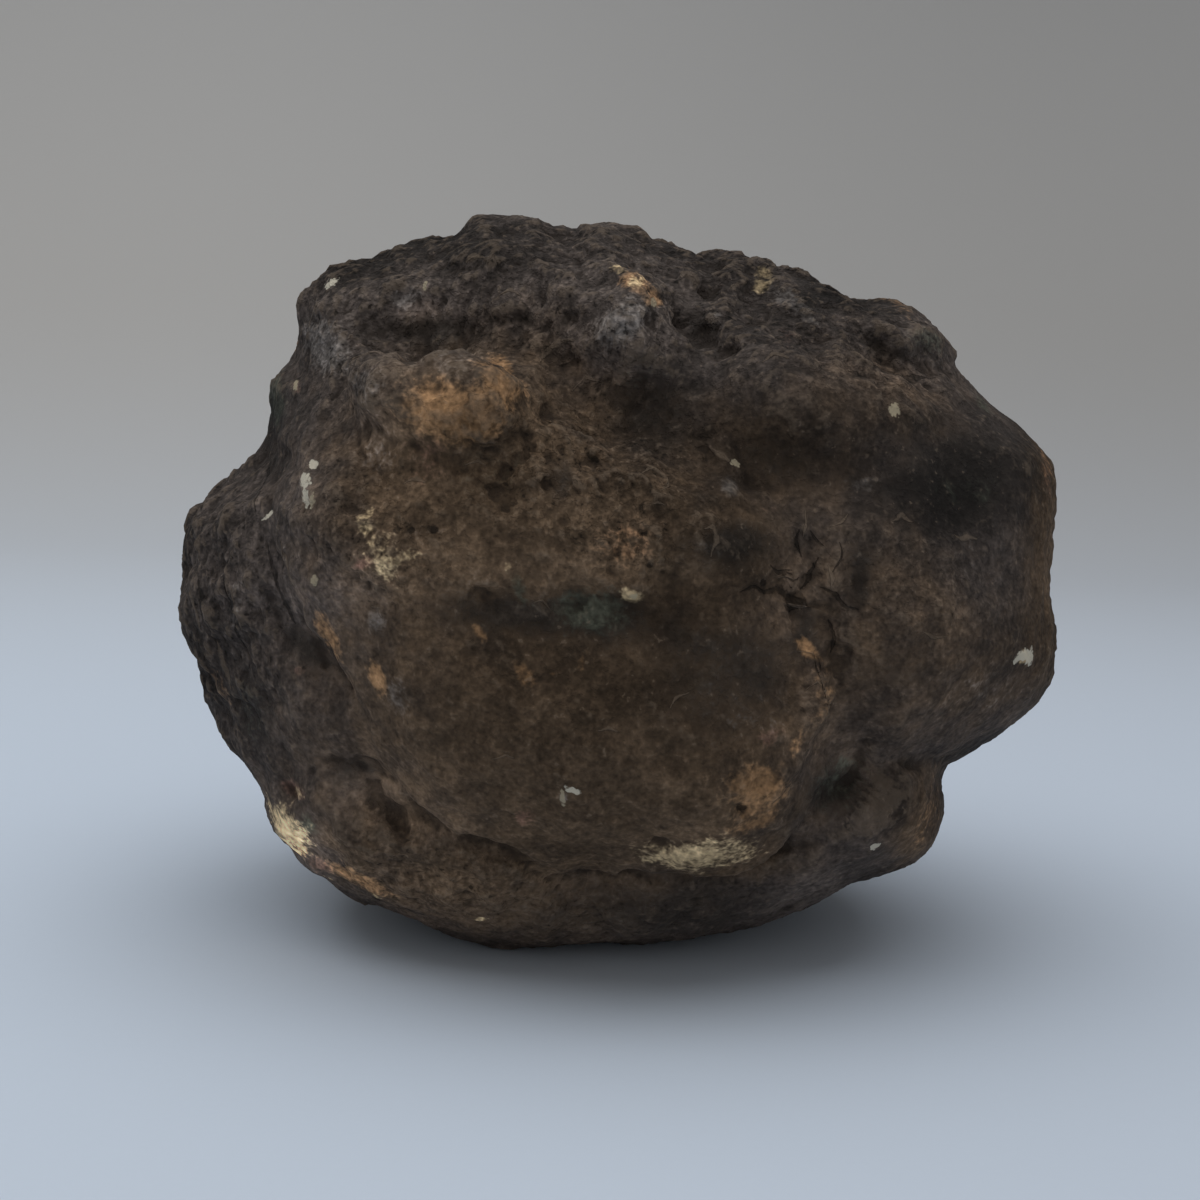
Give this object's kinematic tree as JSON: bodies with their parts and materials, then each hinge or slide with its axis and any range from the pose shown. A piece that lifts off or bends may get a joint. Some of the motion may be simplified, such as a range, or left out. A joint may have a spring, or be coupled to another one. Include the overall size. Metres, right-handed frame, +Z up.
{
  "type": "geode",
  "caption": "Whole, uncut geode nodule: a lumpy, pitted, dark brown stone with rounded lobes and creases, resting on a small flat spot.",
  "frame": {"origin": "on the resting surface, under the middle of the stone's box", "axes": "+X along the longest way, +Y away from the front that the picture shows, +Z up"},
  "size_m": [0.172, 0.1444, 0.1383],
  "materials": {
    "stone": "matt weathered crust, mottled brown, grey and tan"
  },
  "bodies": {
    "root": {"geode": "stone"}
  },
  "joints": []
}
